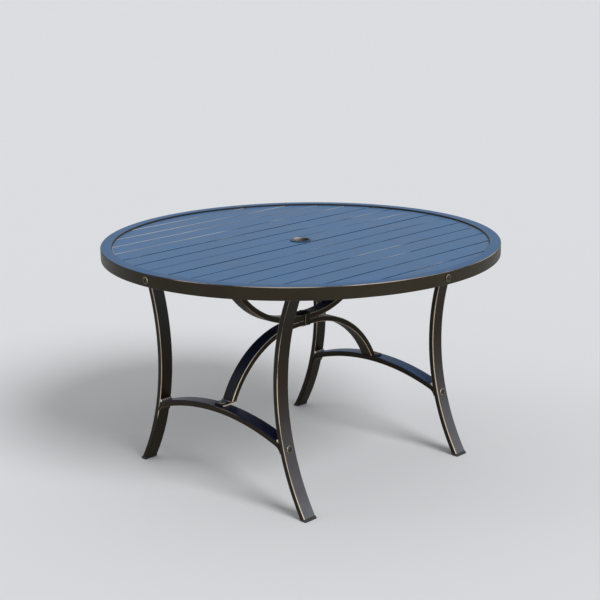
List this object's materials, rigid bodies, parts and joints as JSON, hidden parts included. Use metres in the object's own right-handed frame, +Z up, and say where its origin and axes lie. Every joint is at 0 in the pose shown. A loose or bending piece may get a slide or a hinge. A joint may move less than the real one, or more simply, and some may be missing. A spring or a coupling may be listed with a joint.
{
  "type": "umbrella table",
  "caption": "Round slatted steel patio table with a rolled rim, an umbrella hole, bent legs joined by arched stretchers and crossing arms that hold a pole sleeve.",
  "frame": {"origin": "on the floor, under the middle of the top", "axes": "+Z up; X along the stretchers, from left to right seen from the front; Y along the slats, from front to back"},
  "size_m": [1.2272, 1.2286, 0.711],
  "materials": {
    "frame_coat": "satin powder coat, near black brown, rubbed to bronze along the edges",
    "slat_coat": "semi-gloss powder coat, near black brown, bronze at the folded edges",
    "bolt_coat": "coated steel, bronze round the head",
    "ring_coat": "semi-gloss coated steel",
    "black_plastic": "black moulded polyethylene"
  },
  "bodies": {
    "root": {"rim_hoop": "frame_coat", "slat_middle": "slat_coat", "slat_right_1": "slat_coat", "slat_left_1": "slat_coat", "slat_right_2": "slat_coat", "slat_left_2": "slat_coat", "slat_right_3": "slat_coat", "slat_left_3": "slat_coat", "slat_right_4": "slat_coat", "slat_left_4": "slat_coat", "slat_right_5": "slat_coat", "slat_left_5": "slat_coat", "slat_right_6": "slat_coat", "slat_left_6": "slat_coat", "slat_right_7": "slat_coat", "slat_left_7": "slat_coat", "umbrella_ring": "ring_coat", "bearer_bar": "frame_coat", "pole_sleeve": "frame_coat", "pole_bush": "black_plastic", "upper_arm_back": "frame_coat", "lower_arm_back": "frame_coat", "rim_stay_back": "frame_coat", "upper_pad_bolt_back": "bolt_coat", "lower_pad_bolt_back": "bolt_coat", "cross_rail_back": "frame_coat", "stretcher_back": "frame_coat", "leg_back_left": "frame_coat", "foot_cap_back_left": "black_plastic", "stretcher_bolt_back_left": "bolt_coat", "leg_bolt_back_left_inner": "bolt_coat", "leg_bolt_back_left_outer": "bolt_coat", "leg_back_right": "frame_coat", "foot_cap_back_right": "black_plastic", "stretcher_bolt_back_right": "bolt_coat", "leg_bolt_back_right_inner": "bolt_coat", "leg_bolt_back_right_outer": "bolt_coat", "upper_arm_front": "frame_coat", "lower_arm_front": "frame_coat", "rim_stay_front": "frame_coat", "upper_pad_bolt_front": "bolt_coat", "lower_pad_bolt_front": "bolt_coat", "cross_rail_front": "frame_coat", "stretcher_front": "frame_coat", "leg_front_left": "frame_coat", "foot_cap_front_left": "black_plastic", "stretcher_bolt_front_left": "bolt_coat", "leg_bolt_front_left_inner": "bolt_coat", "leg_bolt_front_left_outer": "bolt_coat", "leg_front_right": "frame_coat", "foot_cap_front_right": "black_plastic", "stretcher_bolt_front_right": "bolt_coat", "leg_bolt_front_right_inner": "bolt_coat", "leg_bolt_front_right_outer": "bolt_coat", "rim_bolt_right": "bolt_coat", "rim_bolt_left": "bolt_coat", "rim_bolt_back": "bolt_coat", "rim_bolt_front": "bolt_coat"}
  },
  "joints": []
}
